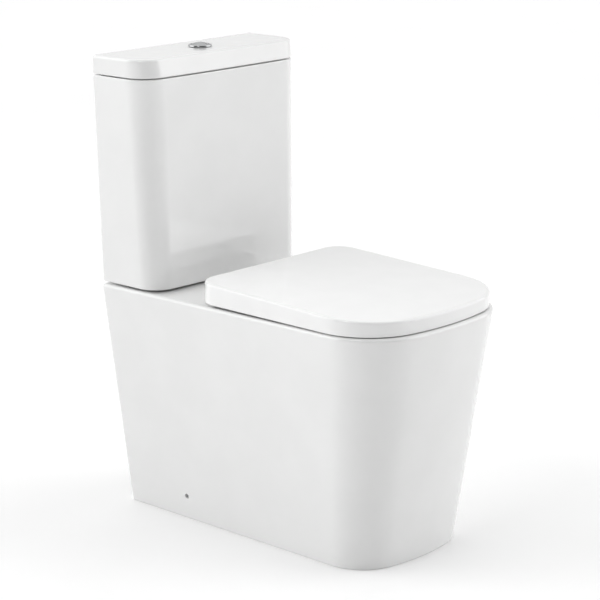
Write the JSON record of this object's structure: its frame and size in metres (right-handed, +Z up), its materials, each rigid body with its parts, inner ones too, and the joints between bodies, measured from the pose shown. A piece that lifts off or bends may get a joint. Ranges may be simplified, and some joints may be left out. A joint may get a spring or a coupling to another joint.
{
  "type": "close coupled toilet",
  "caption": "Floor-standing close coupled toilet with a tapered back-to-wall pan, slim cistern, split flush button and a wrap-over soft-close seat and lid.",
  "frame": {"origin": "on the floor, below the middle of the overall width and depth", "axes": "+Z up, +Y towards the wall behind the toilet, -Y towards the user, +X to the right as seen from the front"},
  "size_m": [0.392, 0.6441, 0.8278],
  "materials": {
    "china": "gloss",
    "seat_plastic": "gloss",
    "chrome": "polished",
    "steel": "satin",
    "brass": "satin",
    "rubber": "matte",
    "clear_rubber": "satin",
    "valve_white": "satin",
    "valve_blue": "satin",
    "valve_grey": "satin"
  },
  "bodies": {
    "pan_assembly": {"pan": "china", "pan_bowl": "china", "pan_trap": "china", "flush_duct": "china", "cistern_tank": "china", "tank_gasket": "rubber", "coupling_bolt_left": "brass", "coupling_bolt_right": "brass", "coupling_washer_left": "rubber", "coupling_washer_right": "rubber", "coupling_wing_nut_left": "brass", "coupling_wing_nut_right": "brass", "flush_valve_body": "valve_white", "flush_valve_washer": "rubber", "flush_valve_nut": "valve_grey", "fill_valve_body": "valve_white", "fill_valve_nut": "valve_grey", "hinge_post_left": "chrome", "hinge_post_right": "chrome", "hinge_pin_left": "steel", "hinge_pin_right": "steel", "hinge_bolt_left": "steel", "hinge_bolt_right": "steel", "hinge_nut_left": "valve_white", "hinge_nut_right": "valve_white", "floor_bracket_left": "steel", "floor_bracket_right": "steel", "bracket_screw_left": "steel", "bracket_screw_right": "steel"},
    "seat": {"seat_ring": "seat_plastic", "seat_buffer_back_left": "clear_rubber", "seat_buffer_back_right": "clear_rubber", "seat_buffer_front_left": "clear_rubber", "seat_buffer_front_right": "clear_rubber", "seat_damper": "valve_grey"},
    "lid": {"seat_lid": "seat_plastic", "lid_buffer_left": "clear_rubber", "lid_buffer_right": "clear_rubber", "lid_damper": "valve_grey"},
    "cistern_cover": {"cistern_lid": "china", "button_bezel": "chrome", "bezel_nut": "valve_white", "full_return_spring": "steel", "half_return_spring": "steel"},
    "full_button": {"full_flush_button": "chrome", "full_flush_rod": "valve_white"},
    "half_button": {"half_flush_button": "chrome", "half_flush_rod": "valve_white"},
    "full_push_pin": {"full_plunger": "valve_blue"},
    "half_push_pin": {"half_plunger": "valve_blue"},
    "flush_piston": {"overflow_tube": "valve_blue", "flush_seal": "rubber"},
    "float": {"float_cup": "valve_grey"},
    "fill_arm": {"fill_valve_arm": "valve_blue"}
  },
  "joints": [
    {"name": "seat_hinge", "type": "hinge", "parent": "pan_assembly", "child": "seat", "pos_m": [0, 0.0745, 0.437], "axis": [1, 0, 0], "range_deg": [-98, 0]},
    {"name": "lid_hinge", "type": "hinge", "parent": "seat", "child": "lid", "pos_m": [0, 0.0745, 0.437], "axis": [-1, 0, 0], "range_deg": [0, 100]},
    {"name": "cistern_lid_lift", "type": "slide", "parent": "pan_assembly", "child": "cistern_cover", "axis": [0, 0, 1], "range_m": [0, 0.12]},
    {"name": "full_flush_press", "type": "slide", "parent": "cistern_cover", "child": "full_button", "axis": [0, 0, -1], "range_m": [0, 0.006], "stiffness_N_per_m": 250, "springref_m": -0.008, "deforming": ["full_return_spring"]},
    {"name": "half_flush_press", "type": "slide", "parent": "cistern_cover", "child": "half_button", "axis": [0, 0, -1], "range_m": [0, 0.006], "stiffness_N_per_m": 250, "springref_m": -0.008, "deforming": ["half_return_spring"]},
    {"name": "full_pin_press", "type": "slide", "parent": "pan_assembly", "child": "full_push_pin", "axis": [0, 0, -1], "range_m": [0, 0.006]},
    {"name": "half_pin_press", "type": "slide", "parent": "pan_assembly", "child": "half_push_pin", "axis": [0, 0, -1], "range_m": [0, 0.006]},
    {"name": "flush_valve_lift", "type": "slide", "parent": "pan_assembly", "child": "flush_piston", "axis": [0, 0, 1], "range_m": [0, 0.012]},
    {"name": "float_rise", "type": "slide", "parent": "pan_assembly", "child": "float", "axis": [0, 0, 1], "range_m": [0, 0.014]},
    {"name": "fill_arm_turn", "type": "hinge", "parent": "pan_assembly", "child": "fill_arm", "pos_m": [0.112, 0.252, 0.678], "axis": [0, -1, 0], "range_deg": [0, 18.5]}
  ],
  "couplings": [
    {"joint": "full_pin_press", "follows": "full_flush_press", "ratio": 1},
    {"joint": "half_pin_press", "follows": "half_flush_press", "ratio": 1},
    {"joint": "flush_valve_lift", "follows": "full_flush_press", "ratio": 2},
    {"joint": "fill_arm_turn", "follows": "float_rise", "rad_per_m": 22.6}
  ]
}
